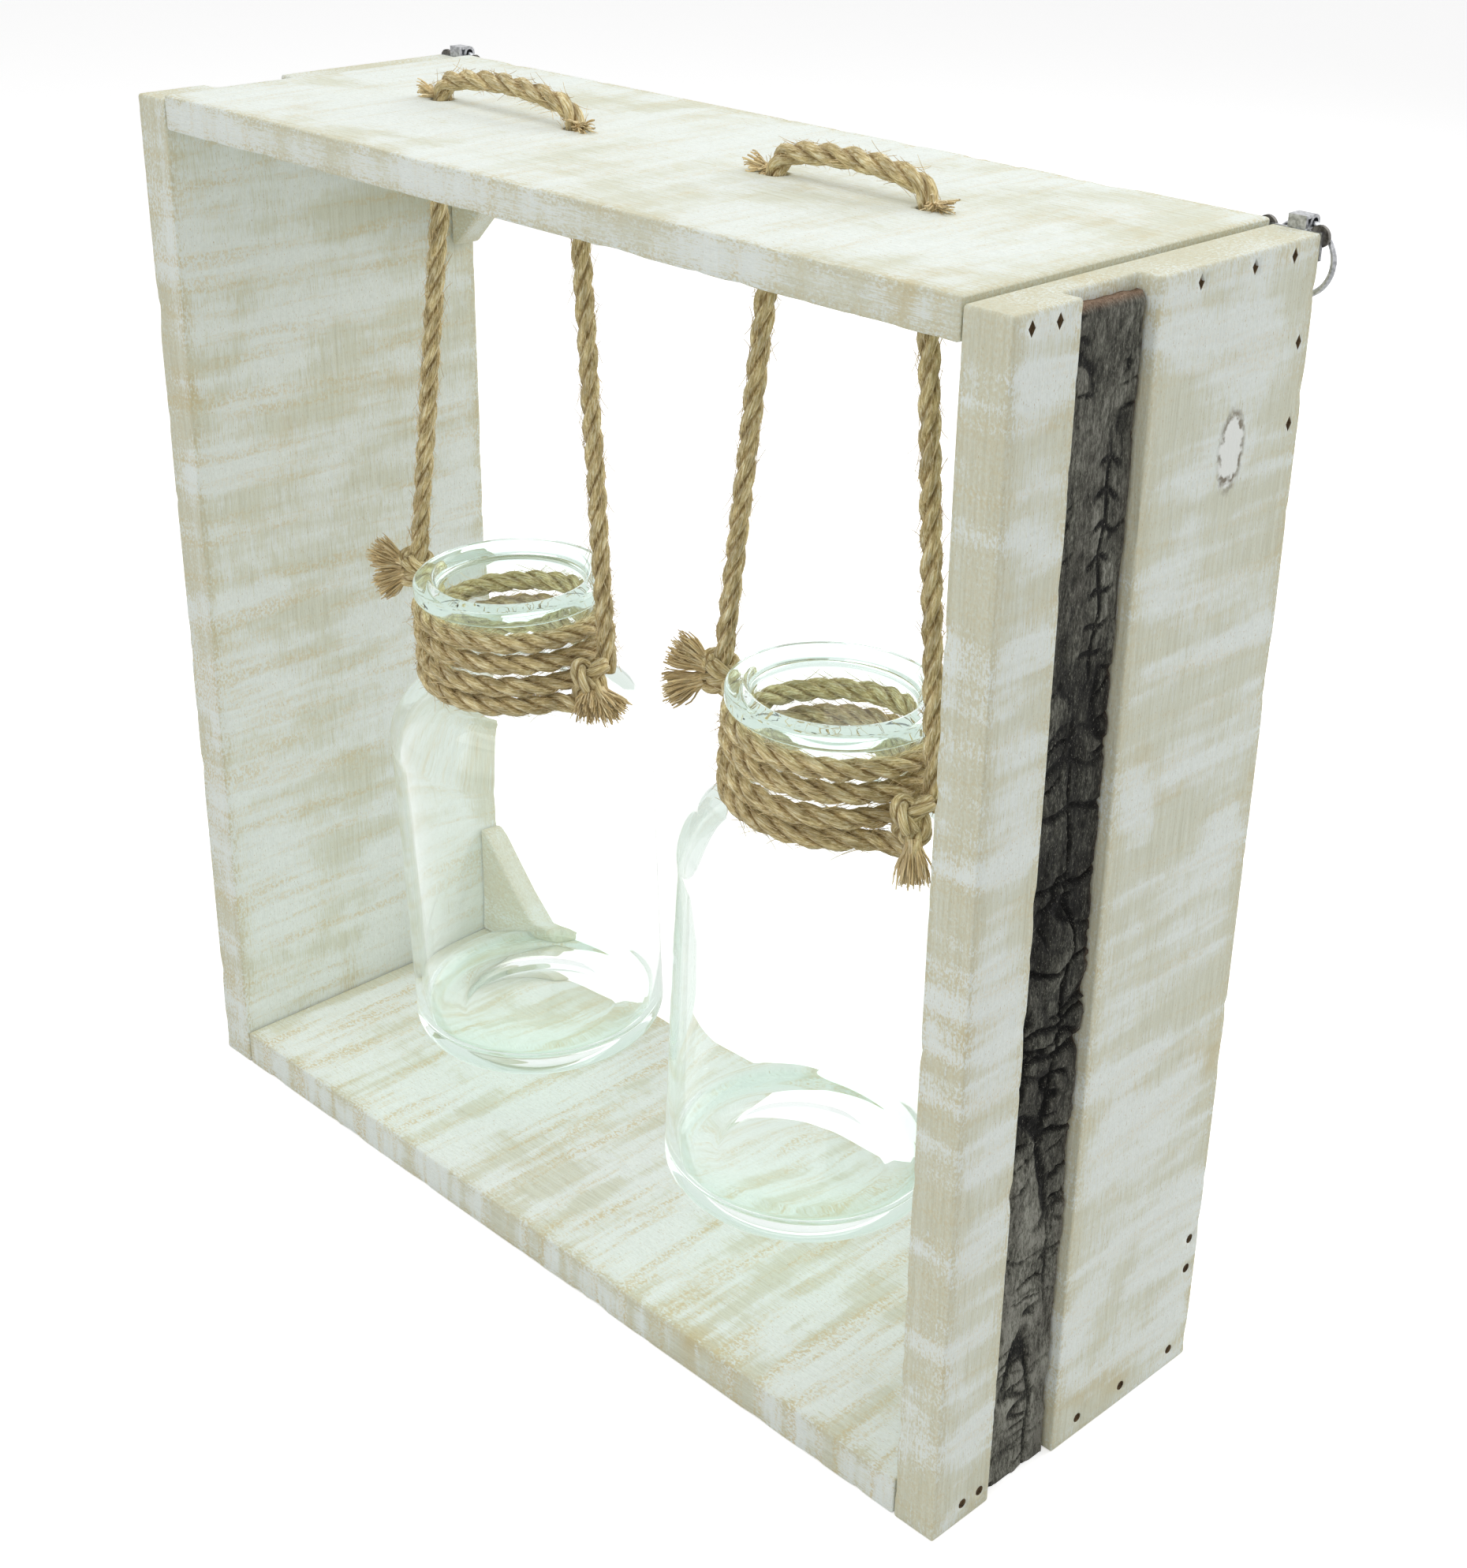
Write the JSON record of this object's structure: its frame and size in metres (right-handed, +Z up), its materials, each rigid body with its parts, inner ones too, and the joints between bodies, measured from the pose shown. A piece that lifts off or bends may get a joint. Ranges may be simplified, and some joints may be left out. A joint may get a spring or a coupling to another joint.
{
  "type": "hanging jar lantern",
  "caption": "Whitewashed wooden frame lantern, open front and back, with bark-inlaid sides and clear glass jars hung side by side on jute rope to hold candles.",
  "frame": {"origin": "middle of the underside of the bottom board", "axes": "+X to the right along the boards, +Y to the back, +Z up"},
  "size_m": [0.4048, 0.1422, 0.4109],
  "materials": {
    "whitewash": "whitewashed, sanded through at edges",
    "bark": "natural bark",
    "glass": "clear pressed glass",
    "jute": "natural jute, three strands",
    "steel": "zinc plated",
    "nail": "rusty"
  },
  "bodies": {
    "frame": {"top_board": "whitewash", "bottom_board": "whitewash", "left_side_board": "whitewash", "right_side_board": "whitewash", "left_bark_strip": "bark", "right_bark_strip": "bark", "top_left_gusset": "whitewash", "top_right_gusset": "whitewash", "bottom_left_gusset": "whitewash", "bottom_right_gusset": "whitewash", "left_frame_nails": "nail", "right_frame_nails": "nail", "gusset_nails": "nail", "left_hanger_plate": "steel", "right_hanger_plate": "steel", "hanger_nails": "steel", "left_rope_loop": "jute", "right_rope_loop": "jute"},
    "left_jar": {"left_jar": "glass", "left_neck_winding": "jute", "left_outer_rope_leg": "jute", "left_inner_rope_leg": "jute", "left_outer_knot": "jute", "left_inner_knot": "jute"},
    "right_jar": {"right_jar": "glass", "right_neck_winding": "jute", "right_outer_rope_leg": "jute", "right_inner_rope_leg": "jute", "right_outer_knot": "jute", "right_inner_knot": "jute"},
    "left_ring": {"left_hanger_ring": "steel"},
    "right_ring": {"right_hanger_ring": "steel"}
  },
  "joints": [
    {"name": "left_jar_swing", "type": "hinge", "parent": "frame", "child": "left_jar", "pos_m": [-0.07875, 0.0015, 0.3855], "axis": [1, 0, 0], "range_deg": [-20, 20]},
    {"name": "right_jar_swing", "type": "hinge", "parent": "frame", "child": "right_jar", "pos_m": [0.0805, 0.0015, 0.3855], "axis": [1, 0, 0], "range_deg": [-20, 20]},
    {"name": "left_ring_turn", "type": "hinge", "parent": "frame", "child": "left_ring", "pos_m": [-0.191, 0.0722, 0.3973], "axis": [1, 0, 0], "range_deg": [-8, 180]},
    {"name": "right_ring_turn", "type": "hinge", "parent": "frame", "child": "right_ring", "pos_m": [0.191, 0.0722, 0.3973], "axis": [1, 0, 0], "range_deg": [-8, 180]}
  ]
}
